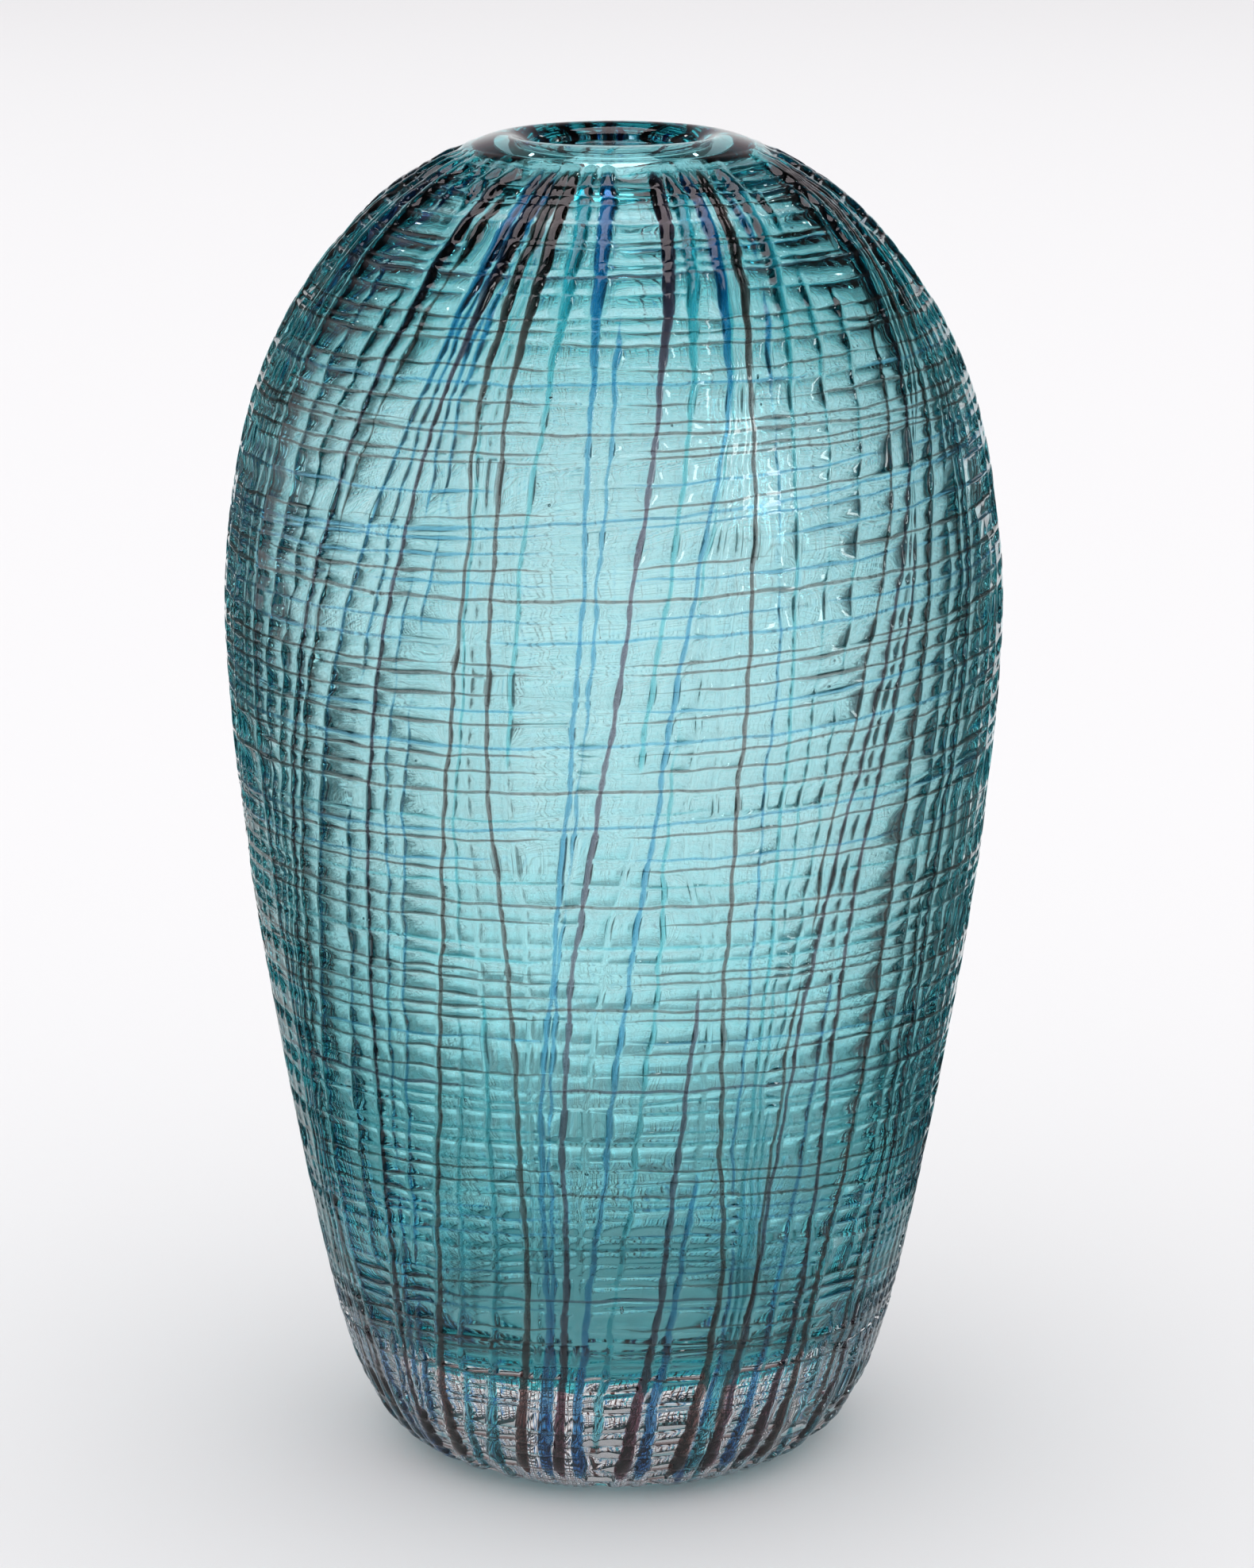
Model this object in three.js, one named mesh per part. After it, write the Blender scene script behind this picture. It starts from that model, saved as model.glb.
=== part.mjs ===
import * as THREE from "three";

// A hand blown art glass vase: a teal bubble cased in clear glass, with coloured canes picked up
// along its length, trails wound round over them, and a fire polished lip.
// Millimetres, +Z up, standing on the ground flat of its foot at z = 0, centred on the Z axis.
// Bearings are degrees round the vase: 0 is the front (-Y), and they grow towards +X.

const HEIGHT = 356;
const LIP_RADIUS = 40; // where the smooth lip band meets the threaded shoulder
const GAP = 0.3; // between glasses that are fused on the real vase
const BUBBLE_WALL = 2.6;

const THREAD_THICKNESS = 0.8;
const CANE_WIDTH = 1.8;
const TRAIL_WIDTH = 1.6;
const CANE_LIFT = 0.8; // height of a cane's middle over the casing
const TRAIL_LIFT = 2.3; // trails lie over the canes
const TRAIL_END_GAP = 7; // degrees left open between a trail's two ends
const FIRST_TRAIL_START = 150; // bearing where the top trail starts
const TRAIL_START_STEP = 77; // degrees from one trail's start to the next one's

const OUTLINE_STEPS = 24;
const HOLLOW_STEPS = 18;
const ROUND_STEPS = 40;
const TRAIL_STEPS = 32;
const LIP_STEPS = 15;
const BISECTIONS = 40;

// The casing's outer face as [radius, height], from the edge of the flat foot to the lip band.
const OUTLINE = new THREE.SplineCurve(
  [
    [47, 0],
    [53.5, 4],
    [60.8, 10.5],
    [67, 21],
    [73.5, 41],
    [81.6, 80],
    [90.3, 130],
    [97, 180],
    [100.2, 238],
    [92, 288],
    [75, 320],
    [57, 339],
    [LIP_RADIUS, 349.4],
  ].map(([radius, height]) => new THREE.Vector2(radius, height)),
);

// The face between casing and bubble, from the middle of the floor to the lip band.
const FLOOR_HEIGHT = 33;
const HOLLOW = new THREE.SplineCurve(
  [
    [0, FLOOR_HEIGHT],
    [30, FLOOR_HEIGHT + 0.4],
    [50, FLOOR_HEIGHT + 3],
    [61, 43],
    [68.5, 60],
    [77.6, 92],
    [86.3, 131],
    [93, 181],
    [96.2, 237],
    [88.3, 286],
    [72, 316.5],
    [55.4, 334.8],
    [LIP_RADIUS, 345.2],
  ].map(([radius, height]) => new THREE.Vector2(radius, height)),
);

const COLOURS = {
  aubergine: 0x2c1a22,
  brown: 0x5a3a34,
  blue: 0x2f86c4,
  teal: 0x2a9fae,
  clear: 0xd8f0f2,
};

// Canes in their order round the vase, each by its bearings at these heights, from the height with
// the number "from", or the first.
const CANE_HEIGHTS = [8, 60, 110, 160, 210, 260, 310, 347];
const FRONT_CANES = [
  { colour: "aubergine", bearings: [-69, -69, -66, -64, -64, -63, -62, -61] },
  { colour: "aubergine", bearings: [-61, -64, -62, -58, -53, -47, -41, -37] },
  { colour: "blue", bearings: [-55, -59, -57, -51, -46, -39, -30, -25] },
  { colour: "aubergine", bearings: [-50, -46, -43, -40, -37, -32, -27, -21] },
  { colour: "brown", bearings: [-41, -35, -30, -27, -24, -21, -21, -17] },
  { colour: "teal", bearings: [-30, -22, -21, -20] },
  { colour: "brown", bearings: [-22, -16, -16, -16, -18, -17, -16.5, -13] },
  { colour: "teal", from: 4, bearings: [-15, -13, -10, -7] },
  { colour: "blue", bearings: [-17, -12, -12, -9, -6, -4, -3, -2] },
  { colour: "aubergine", bearings: [-13, -9, -8, -6, -1, 3, 9, 14] },
  { colour: "teal", from: 4, bearings: [3.5, 8, 14, 19] },
  { colour: "blue", bearings: [-9, -5, -1, 3, 7, 12, 20, 25] },
  { colour: "aubergine", bearings: [1, 8.5, 11, 14] },
  { colour: "blue", bearings: [6, 11, 15] },
  { colour: "brown", bearings: [15, 20, 18, 17, 18.5, 20, 23.5, 30] },
  { colour: "teal", bearings: [18, 23.5, 23, 24, 25, 27, 31, 39] },
  { colour: "aubergine", bearings: [22, 27, 29, 32, 38, 47, 57, 66] },
  { colour: "blue", bearings: [28, 32, 34, 35.5] },
  { colour: "aubergine", bearings: [33, 38, 37.5, 38, 42, 50] },
  { colour: "brown", bearings: [39, 42, 45, 46, 48, 53, 62, 71] },
  { colour: "aubergine", bearings: [54, 58, 58, 57, 60, 64, 69, 76] },
];

// Round the back the canes follow one another evenly, each leaning the way the front ones do.
const BACK_CANES = 14;
const BACK_COLOURS = ["aubergine", "teal", "brown", "blue", "aubergine"];
const BACK_FROM = 68;
const BACK_SWEEP = 212;
const BACK_LEAN = [0, 2, 4, 7, 11, 15, 18, 21];
const BACK_LEAN_LOSS = 0.5; // share of the lean that is lost by the last back cane

// Trails by the height of their middle, the tilt of their turn and the sag towards the sides.
const TRAILS = [
  { colour: "teal", height: 338, tilt: 0, arch: 0 },
  { colour: "aubergine", height: 327, tilt: 1, arch: 0 },
  { colour: "brown", height: 312, tilt: 0, arch: 0 },
  { colour: "blue", height: 303, tilt: 1, arch: 0 },
  { colour: "brown", height: 292, tilt: 1, arch: 0 },
  { colour: "blue", height: 272, tilt: 8, arch: 0 },
  { colour: "brown", height: 253, tilt: 2, arch: 0 },
  { colour: "blue", height: 243, tilt: 4, arch: 0 },
  { colour: "blue", height: 217, tilt: 4, arch: 0 },
  { colour: "brown", height: 204, tilt: 2, arch: 1 },
  { colour: "blue", height: 195, tilt: 5, arch: 1 },
  { colour: "brown", height: 173, tilt: -1, arch: 2 },
  { colour: "teal", height: 163, tilt: 0, arch: 1 },
  { colour: "brown", height: 144, tilt: 0, arch: 3 },
  { colour: "aubergine", height: 122, tilt: 0, arch: 3 },
  { colour: "teal", height: 107, tilt: 0, arch: 3 },
  { colour: "brown", height: 90, tilt: 0, arch: 5 },
  { colour: "teal", height: 75, tilt: 0, arch: 5 },
  { colour: "aubergine", height: 60, tilt: 0, arch: 5 },
];

function glass(colour) {
  return new THREE.MeshStandardMaterial({
    color: COLOURS[colour],
    roughness: 0.05,
    metalness: 0,
    transparent: true,
    opacity: 0.6,
  });
}

// A turned body from a closed profile of [radius, height] points.
function turned(name, profile, colour) {
  const geometry = new THREE.LatheGeometry(profile, ROUND_STEPS);
  geometry.rotateX(Math.PI / 2);
  const mesh = new THREE.Mesh(geometry, glass(colour));
  mesh.name = name;
  return mesh;
}

// A curve's points moved off it: to its right as it runs upwards, so outwards, when offset > 0.
function offsetPoints(curve, steps, offset) {
  const points = [];
  for (let i = 0; i <= steps; i++) {
    const point = curve.getPoint(i / steps);
    const tangent = curve.getTangent(i / steps);
    points.push(new THREE.Vector2(point.x + offset * tangent.y, point.y - offset * tangent.x));
  }
  return points;
}

function clampedToLip(points) {
  return points.filter((point) => point.x >= LIP_RADIUS || point.y < HEIGHT / 2);
}

function clearCasing() {
  const outer = OUTLINE.getPoints(OUTLINE_STEPS);
  const inner = HOLLOW.getPoints(HOLLOW_STEPS).reverse();
  return turned("clear_casing", [new THREE.Vector2(0, 0), ...outer, ...inner], "clear");
}

function tealBubble() {
  const outer = clampedToLip(offsetPoints(HOLLOW, HOLLOW_STEPS, -GAP));
  const inner = clampedToLip(offsetPoints(HOLLOW, HOLLOW_STEPS, -GAP - BUBBLE_WALL));
  outer[0].x = 0;
  inner[0].x = 0;
  return turned("teal_bubble", [...outer, ...inner.reverse()], "teal");
}

// The lip band rolls from the shoulder over its crest into the mouth.
function lip() {
  const edge = LIP_RADIUS - GAP;
  const rolled = new THREE.SplineCurve(
    [
      [edge, 352.4],
      [34, 354.9],
      [27.5, HEIGHT],
      [22.6, 353],
      [22.4, 347.5],
      [28, 344],
    ].map(([radius, height]) => new THREE.Vector2(radius, height)),
  );
  const root = new THREE.Vector2(edge, 342);
  return turned("lip", [root, ...rolled.getPoints(LIP_STEPS), root.clone()], "clear");
}

function outlineAtHeight(height) {
  let low = 0;
  let high = 1;
  for (let i = 0; i < BISECTIONS; i++) {
    const middle = (low + high) / 2;
    if (OUTLINE.getPoint(middle).y < height) low = middle;
    else high = middle;
  }
  return low;
}

// The point over the casing at a bearing and a place t along its outline, and the way out there.
function overCasing(bearing, t, lift) {
  const angle = THREE.MathUtils.degToRad(bearing);
  const { x: radius, y: height } = OUTLINE.getPoint(t);
  const tangent = OUTLINE.getTangent(t);
  const aside = new THREE.Vector3(Math.sin(angle), -Math.cos(angle), 0);
  const out = aside.clone().multiplyScalar(tangent.y).setZ(-tangent.x);
  const point = aside.multiplyScalar(radius).setZ(height).addScaledVector(out, lift);
  return { point, out };
}

// The middle line of a thread, whose section keeps its flat side towards the casing.
class ThreadPath extends THREE.Curve {
  constructor(placeAt) {
    super();
    this.placeAt = placeAt;
  }

  getPoint(t, target = new THREE.Vector3()) {
    return target.copy(this.placeAt(t).point);
  }

  getPointAt(t, target) {
    return this.getPoint(t, target);
  }

  computeFrenetFrames(steps) {
    const tangents = [];
    const normals = [];
    const binormals = [];
    for (let i = 0; i <= steps; i++) {
      const tangent = this.getTangent(i / steps);
      const normal = this.placeAt(i / steps).out;
      normal.addScaledVector(tangent, -normal.dot(tangent)).normalize();
      tangents.push(tangent);
      normals.push(normal);
      binormals.push(new THREE.Vector3().crossVectors(tangent, normal));
    }
    return { tangents, normals, binormals };
  }
}

function thread(name, path, width, steps, colour) {
  const section = new THREE.Shape([
    new THREE.Vector2(-THREAD_THICKNESS / 2, -width / 2),
    new THREE.Vector2(THREAD_THICKNESS / 2, 0),
    new THREE.Vector2(-THREAD_THICKNESS / 2, width / 2),
  ]);
  const geometry = new THREE.ExtrudeGeometry(section, {
    steps,
    extrudePath: path,
    bevelEnabled: false,
  });
  const mesh = new THREE.Mesh(geometry, glass(colour));
  mesh.name = name;
  return mesh;
}

// A cane's steps are the casing's own outline steps, so that it follows the casing's facets.
function cane(name, { colour, bearings, from = 0 }) {
  const heights = CANE_HEIGHTS.slice(from, from + bearings.length);
  const bearingAt = new THREE.CubicInterpolant(heights, bearings, 1);
  const stepAt = (height) => Math.round(outlineAtHeight(height) * OUTLINE_STEPS);
  const first = Math.max(stepAt(heights[0]), 1);
  const last = Math.min(stepAt(heights.at(-1)), OUTLINE_STEPS - 1);
  const path = new ThreadPath((t) => {
    const place = (first + (last - first) * t) / OUTLINE_STEPS;
    const [bearing] = bearingAt.evaluate(OUTLINE.getPoint(place).y);
    return overCasing(bearing, place, CANE_LIFT);
  });
  return thread(name, path, CANE_WIDTH, last - first, colour);
}

function trail(name, { colour, height, tilt, arch }, startBearing) {
  const path = new ThreadPath((t) => {
    const bearing = startBearing + (360 - TRAIL_END_GAP) * t;
    const angle = THREE.MathUtils.degToRad(bearing);
    const rise = tilt * Math.sin(angle) + arch * Math.cos(2 * angle);
    return overCasing(bearing, outlineAtHeight(height + rise), TRAIL_LIFT);
  });
  return thread(name, path, TRAIL_WIDTH, TRAIL_STEPS, colour);
}

function backCanes() {
  const canes = [];
  for (let i = 0; i < BACK_CANES; i++) {
    const foot = BACK_FROM + (BACK_SWEEP * i) / (BACK_CANES - 1);
    const bearings = BACK_LEAN.map((lean) => foot + lean * (1 - (BACK_LEAN_LOSS * i) / BACK_CANES));
    canes.push({ colour: BACK_COLOURS[i % BACK_COLOURS.length], bearings });
  }
  return canes;
}

const two = (number) => String(number).padStart(2, "0");

const vase = new THREE.Group();
vase.add(clearCasing(), tealBubble(), lip());
[...FRONT_CANES, ...backCanes()].forEach((spec, i) => {
  vase.add(cane(`${spec.colour}_cane_${two(i + 1)}`, spec));
});
TRAILS.forEach((spec, i) => {
  const startBearing = FIRST_TRAIL_START + TRAIL_START_STEP * i;
  vase.add(trail(`${spec.colour}_trail_${two(i + 1)}`, spec, startBearing));
});

export default vase;
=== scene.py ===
"""The looks of a hand blown art glass vase: clear glass with a raised net of threads over a teal
bubble, and coloured cores inside the canes and trails. Metres, +Z up, bearings in degrees round the
vase from the front (-Y) towards +X. "s" is the way along the vase's section, from the middle of the
foot over the shoulder and the lip and down the well to the middle of its floor.
"""

import math

import bpy
import numpy as np
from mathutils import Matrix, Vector


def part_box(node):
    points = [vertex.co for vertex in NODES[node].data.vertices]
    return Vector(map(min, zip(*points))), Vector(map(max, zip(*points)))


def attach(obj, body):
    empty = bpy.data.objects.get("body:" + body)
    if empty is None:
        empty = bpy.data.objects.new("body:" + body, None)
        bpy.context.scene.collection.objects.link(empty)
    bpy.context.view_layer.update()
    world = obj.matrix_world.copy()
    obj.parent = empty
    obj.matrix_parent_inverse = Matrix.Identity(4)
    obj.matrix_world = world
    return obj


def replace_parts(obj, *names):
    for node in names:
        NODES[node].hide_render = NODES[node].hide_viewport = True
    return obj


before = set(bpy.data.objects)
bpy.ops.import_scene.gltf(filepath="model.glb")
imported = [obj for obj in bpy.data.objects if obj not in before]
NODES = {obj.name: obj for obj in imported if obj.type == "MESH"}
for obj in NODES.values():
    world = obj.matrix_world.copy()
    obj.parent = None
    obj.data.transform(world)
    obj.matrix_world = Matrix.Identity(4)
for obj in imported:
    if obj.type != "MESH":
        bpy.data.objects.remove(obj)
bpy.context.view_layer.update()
MM = 0.001
FULL_TURN = 360.0
RANDOM = np.random.default_rng(7)

# the section
SECTION_STEP = 0.5 * MM
CURVE_STEPS = 24  # between two rings of the frame's solids
SECTION_BLUR = 4  # steps over which the way along the section is smoothed
FOOT_SHARE = 0.6  # the flat foot's middle ring, as a share of its radius
ON_AXIS = 1 * MM
BELOW_LIP = 1 * MM
OUTSIDE_LIP = 3 * MM
LIP_UNDERSIDE = -0.1 * math.pi  # the lip's rings below this angle are inside the glass
SKIN_LIFT = 1.9 * MM  # the net's valleys stand this far off the CAD casing
FOOT_FADE = 16 * MM
LIP_FADE = 13 * MM

# the threads' places
NET_SAMPLES = 201
TO_THE_LAST = 0.001  # a place this near the last sample is still between two samples
RING_HEIGHTS = 1.5 * MM  # rings of a CAD cane lie further apart than this
RING_BEARINGS = 2.0  # and those of a trail, in degrees
FRONT_BEARING = 60.0  # canes that come after one that reaches this lie round the back
PART_CANE = 25 * MM  # a part cane's line is trusted this far past its ends
CANE_BLUR = 5
CANE_SPACING = 5.3 * MM
TRAIL_SPACING = 4.2 * MM
UNEVEN_SPACING = (0.5, 1.5)
FINE_CANE_COLOURS = {"teal": 0.5, "blue": 0.25, "brown": 0.25}
FINE_TRAIL_COLOURS = {"brown": 0.5, "teal": 0.3, "blue": 0.2}
KEEP_APART = 1e-3  # degrees between two canes that meet
WAVES = 5  # each wandering line is the sum of this many waves
RING_WAVES = 6
FEWEST_RING_WAVES = 3
WAVE_HEIGHTS = (0.4, 1)
WAVE_SUM = 1.6
RING_WAVE_SUM = 1.7
PHASES = 6.28  # radians
CANE_WANDER = 0.45 * MM
FINE_CANE_WANDER = 0.7 * MM
CANE_WAVES = 30  # the shortest waves of a cane's line, in its length
TRAIL_WANDER = 0.35 * MM
TRAIL_WAVES = 53
FINE_TRAIL_WANDER = 0.3 * MM
FINE_TRAIL_WAVES = 9
LOWEST_TRAIL = 9 * MM  # past the foot
HIGHEST_TRAIL = 1 * MM  # before the shoulder ends at the lip

# how strongly the fine threads stand: 1 and more is whole, 0 is gone
FINE_CANE_STRENGTH = 1.2
FINE_CANE_CHANGE = 0.55
FINE_CANE_PATCHES = 11
UPPER_BELLY = (255 * MM, 50 * MM)  # height and reach of the place where fine canes are fewer
UPPER_BELLY_LOSS = 0.25
CROWDED_ABOVE = (305 * MM, 30 * MM)  # where the canes draw together, only the main ones stand
CROWDED_BELOW = (34 * MM, 22 * MM)
CROWDED_LOSS = 0.8
FINE_TRAIL_STRENGTH = 1.15
FINE_TRAIL_CHANGE = 0.6
FINE_TRAIL_PATCHES = 17

# the ridges on the skin: half width and height
CANE_RIDGE = (0.88 * MM, 0.88 * MM)
FINE_CANE_RIDGE = (0.72 * MM, 0.84 * MM)
TRAIL_RIDGE = (0.76 * MM, 0.74 * MM)
FINE_TRAIL_RIDGE = (0.6 * MM, 0.64 * MM)
FAINT_WIDTH = 0.4  # what is left of a ridge's width where its strength is 0
HEIGHT_SWELL = 0.7  # power of the swell by which a ridge grows taller
ACROSS_RIDGE = (0.6, 0.92, 1.3)  # where a ridge is sampled, in its half widths
FLANK_SHARE = 0.42  # most of the gap to the next thread that its lines may take
WIDE_GAP = 7  # in half widths of a ridge
NET_PASSES = 4
CORNER = 1.7 * MM  # radius of the cells' corners
NOT_ZERO = 1e-12
MENISCUS = (0.25 * MM, 2.2 * MM)  # rise and reach of the glass drawn up beside a ridge
RIPPLE = 0.1 * MM
RIPPLES = ((7, 0.11), (13, 0.047), (23, 0.031), (41, 0.019))  # waves round a turn, length
RIPPLE_BEAT = 4.1  # radians in that length
FADED = 4 * MM  # how far off a ridge counts as standing once its thread has died away
NET_FADE = 5 * MM  # the ridges rise and die away over this length at the foot and the lip

# the swell of the canes: they were drawn thinnest over the belly
FOOT_SWELL = 1.2
FOOT_SWELL_TOP = 12 * MM
FOOT_SWELL_REACH = 32 * MM
SHOULDER_SWELL = 1.0
SHOULDER_SWELL_START = 290 * MM
SHOULDER_SWELL_RISE = 50 * MM
CORE_SWELL = 1.5  # power of the swell by which a cane's core grows

# the clear body
FOOT_RINGS = (0.35, 0.7, 0.93)  # rings of the foot's flat, as shares of the way to its edge
LIP_STEP = 1 * MM
ROLL_OVER = 22 * MM  # the lip's fine rings go on this far past the crest
WELL_STEP = 5 * MM
WELL_WALL_START = 25 * MM  # the well's wall starts this far past the crest
BUBBLES = 160
BUBBLE_SIDES = 10
BUBBLE_MARGIN = 10 * MM
BUBBLE_DEPTH = (2.4 * MM, 3.6 * MM)
BUBBLE_RADIUS = (0.3 * MM, 0.6 * MM)

# the teal layer
TEAL_WALL = 2.2 * MM
TEAL_LOW_MORE = 2.4 * MM
TEAL_LOW = (170 * MM, 120 * MM)  # height where it starts to thicken, and over what
TEAL_HIGH_MORE = 2.4 * MM
TEAL_HIGH = (285 * MM, 40 * MM)
TEAL_MOUTH_LESS = 3.6 * MM
TEAL_MOUTH = (40 * MM, 35 * MM)  # how far past the crest it is whole again, and over what
TEAL_START = 4 * MM
TEAL_STEP = 3 * MM
TEAL_SIDES = 96
TEAL_DEPTH = 0.3 * MM

# the threads' cores: half width and half thickness
CANE_CORE = (0.5 * MM, 0.34 * MM)
FINE_CANE_CORE = (0.4 * MM, 0.3 * MM)
TRAIL_CORE = (0.42 * MM, 0.24 * MM)
FINE_TRAIL_CORE = (0.34 * MM, 0.26 * MM)
CORE_SIDES = 10
CORE_START = 7 * MM
CORE_END = 2 * MM
CORE_STEP = 3 * MM
CORE_TAPER = 8 * MM
CORE_DEPTH = 0.3 * MM
FAINT_CORE = 0.05  # no core gets thinner than this share
TAPER_TIP = 0.08
TO_THE_LIP = 45 * MM  # a cane that ends this near the lip goes on to it under the skin
TRAIL_CORE_LIFT = 0.1 * MM
TRAIL_START = 1.0  # in degrees, as are the next three
TRAIL_END = 7.0
TRAIL_STEP = 1.5
TRAIL_TAPER = 8.0

# glass: its tint, and the parts of red, green and blue light left after 1 mm of it
GLASS_IOR = 1.5
INSIDE_IOR = 1.0  # a glass that lies in the clear glass bends light no further
WELL_ROUGHNESS = 0.07  # blurs the net on the far side a little, as a lens does
CLEAR_TINT = (0.97, 0.99, 1.0)
TEAL_TINT = (0.97, 1.0, 1.0)
TEAL_LEFT = (0.87, 0.978, 0.982)
THREAD_GLASSES = {
    "aubergine": ("aubergine_glass", (0.95, 0.9, 0.93), (0.28, 0.16, 0.2)),
    "brown": ("brown_glass", (0.95, 0.92, 0.9), (0.3, 0.18, 0.17)),
    "blue": ("blue_glass", (0.95, 0.98, 1.0), (0.19, 0.46, 0.68)),
    "teal": ("teal_thread_glass", (0.95, 1.0, 1.0), (0.3, 0.7, 0.76)),
}
TINT_SCALE = 60.0
TINT_RANGE = (0.35, 0.65)
MOST_DENSITY = 1.02  # keeps the absorption's colour a little above black

# the floor and the cards, in metres
FLOOR_RADIUS = 6.0
FLOOR_STEP = 5
FLOOR_COLOUR = (0.82, 0.82, 0.83)
FLOOR_ROUGHNESS = 0.5
CARD_ROUGHNESS = 0.9
DARK_CARD_COLOUR = (0.1, 0.1, 0.1)
GREY_CARD_COLOUR = (0.5, 0.5, 0.5)
CARD_STEP = 4
CARD_START = 0.2
CARD_BEND = 0.66  # where a card turns up
CARD_END = 1.4
CARD_HEIGHT = 0.8
CARD_LIFT = 1 * MM
GREY_CARD = (0.14, 0.28)
GREY_CARD_LIFT = 0.5 * MM
LANE_HALF_WIDTH = 0.2
LANES = (
    (356, 31, "open"),
    (45, 13, "near"),
    (90, 26, "far"),
    (180, 26, "open"),
    (225, 26, "open"),
)  # middle bearing from +Y towards -X, half angle and kind

# light and camera
ROOM_LIGHT_HEIGHT = 4.0
ROOM_LIGHT_SIZE = (14, 14)
ROOM_LIGHT_POWER = 800
TOP_SOFTBOX_HEIGHT = 1.6
TOP_SOFTBOX_SIZE = (1.0, 1.0)
TOP_SOFTBOX_POWER = 8
TOP_SOFTBOX_COLOUR = (1, 0.88, 0.92)
STRIPS = 4
STRIP_BEARING = 45
STRIP_DISTANCE = 1.7
STRIP_HEIGHT = 1.0
STRIP_SIZE = (0.2, 1.0)
STRIP_POWER = 6
LIGHT_AIM = Vector((0, 0, 0.2))
SKY = ((0.1, (0.88, 0.88, 0.89)), (0.3, (0.5, 0.43, 0.46)), (0.7, (0.03, 0.03, 0.03)))
EYE = (3.5 * MM, -1.25, 0.4984)
LOOK_DOWN = 14.22
LENS = 110.2
SENSOR = 36
CLIP_END = 50


# ---- reading the frame ----


def node_points(node):
    mesh = NODES[node].data
    points = np.empty(len(mesh.vertices) * 3)
    mesh.vertices.foreach_get("co", points)
    return points.reshape(-1, 3)


def clusters(values, gap):
    """Groups of indices whose sorted values lie less than gap apart."""
    order = np.argsort(values)
    cuts = np.flatnonzero(np.diff(values[order]) > gap) + 1
    return np.split(order, cuts)


def bearings_of(points):
    return np.degrees(np.arctan2(points[:, 0], -points[:, 1]))


def turned_profile(node, side):
    """A turned node's rings as rows of (radius, height), from its faces that point out (side 1) or
    in (side -1), lowest first."""
    mesh = NODES[node].data
    rings = {}
    for face in mesh.polygons:
        if (face.center.x * face.normal.x + face.center.y * face.normal.y) * side <= 0:
            continue
        for index in face.vertices:
            x, y, z = mesh.vertices[index].co
            rings[round(math.hypot(x, y), 3), round(z, 3)] = (math.hypot(x, y), z)
    return np.array(sorted(rings.values(), key=lambda ring: ring[1]))


def lip_profile():
    """The lip's rings in their order round its section, from the shoulder over the crest."""
    points = node_points("lip")
    rings = {}
    for x, y, z in points:
        radius = math.hypot(x, y)
        rings[round(radius, 4), round(z, 4)] = (radius, z)
    rings = np.array(list(rings.values()))
    middle = (rings.min(0) + rings.max(0)) / 2
    turn = np.arctan2(rings[:, 1] - middle[1], rings[:, 0] - middle[0])
    rings = rings[np.argsort(turn)]
    return rings[np.sort(turn) > LIP_UNDERSIDE]


# ---- the section ----


def smooth_curve(points, step):
    """Points at even steps along a Catmull-Rom curve through the given ones."""
    points = np.asarray(points, float)
    ends = np.vstack([2 * points[0] - points[1], points, 2 * points[-1] - points[-2]])
    t = np.linspace(0, 1, CURVE_STEPS, endpoint=False)[:, None]
    fine = []
    for a, b, c, d in zip(ends, ends[1:], ends[2:], ends[3:]):
        fine.append(
            0.5 * (2 * b + (c - a) * t + (2 * a - 5 * b + 4 * c - d) * t**2
                   + (3 * b - a - 3 * c + d) * t**3)
        )
    fine = np.vstack([*fine, points[-1:]])
    along = np.r_[0, np.cumsum(np.linalg.norm(np.diff(fine, axis=0), axis=1))]
    even = np.linspace(0, along[-1], int(along[-1] / step) + 1)
    return np.column_stack([np.interp(even, along, fine[:, i]) for i in (0, 1)])


def blurred(values, width):
    """Values smoothed along their first axis by a bell of this half width, ends kept."""
    reach = np.arange(-3 * width, 3 * width + 1)
    bell = np.exp(-0.5 * (reach / width) ** 2)
    padded = np.pad(values, [(3 * width, 3 * width)] + [(0, 0)] * (values.ndim - 1), "edge")
    return sum(w * padded[i : i + len(values)] for i, w in enumerate(bell / bell.sum()))


def smoothstep(x):
    x = np.clip(x, 0, 1)
    return x * x * (3 - 2 * x)


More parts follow.
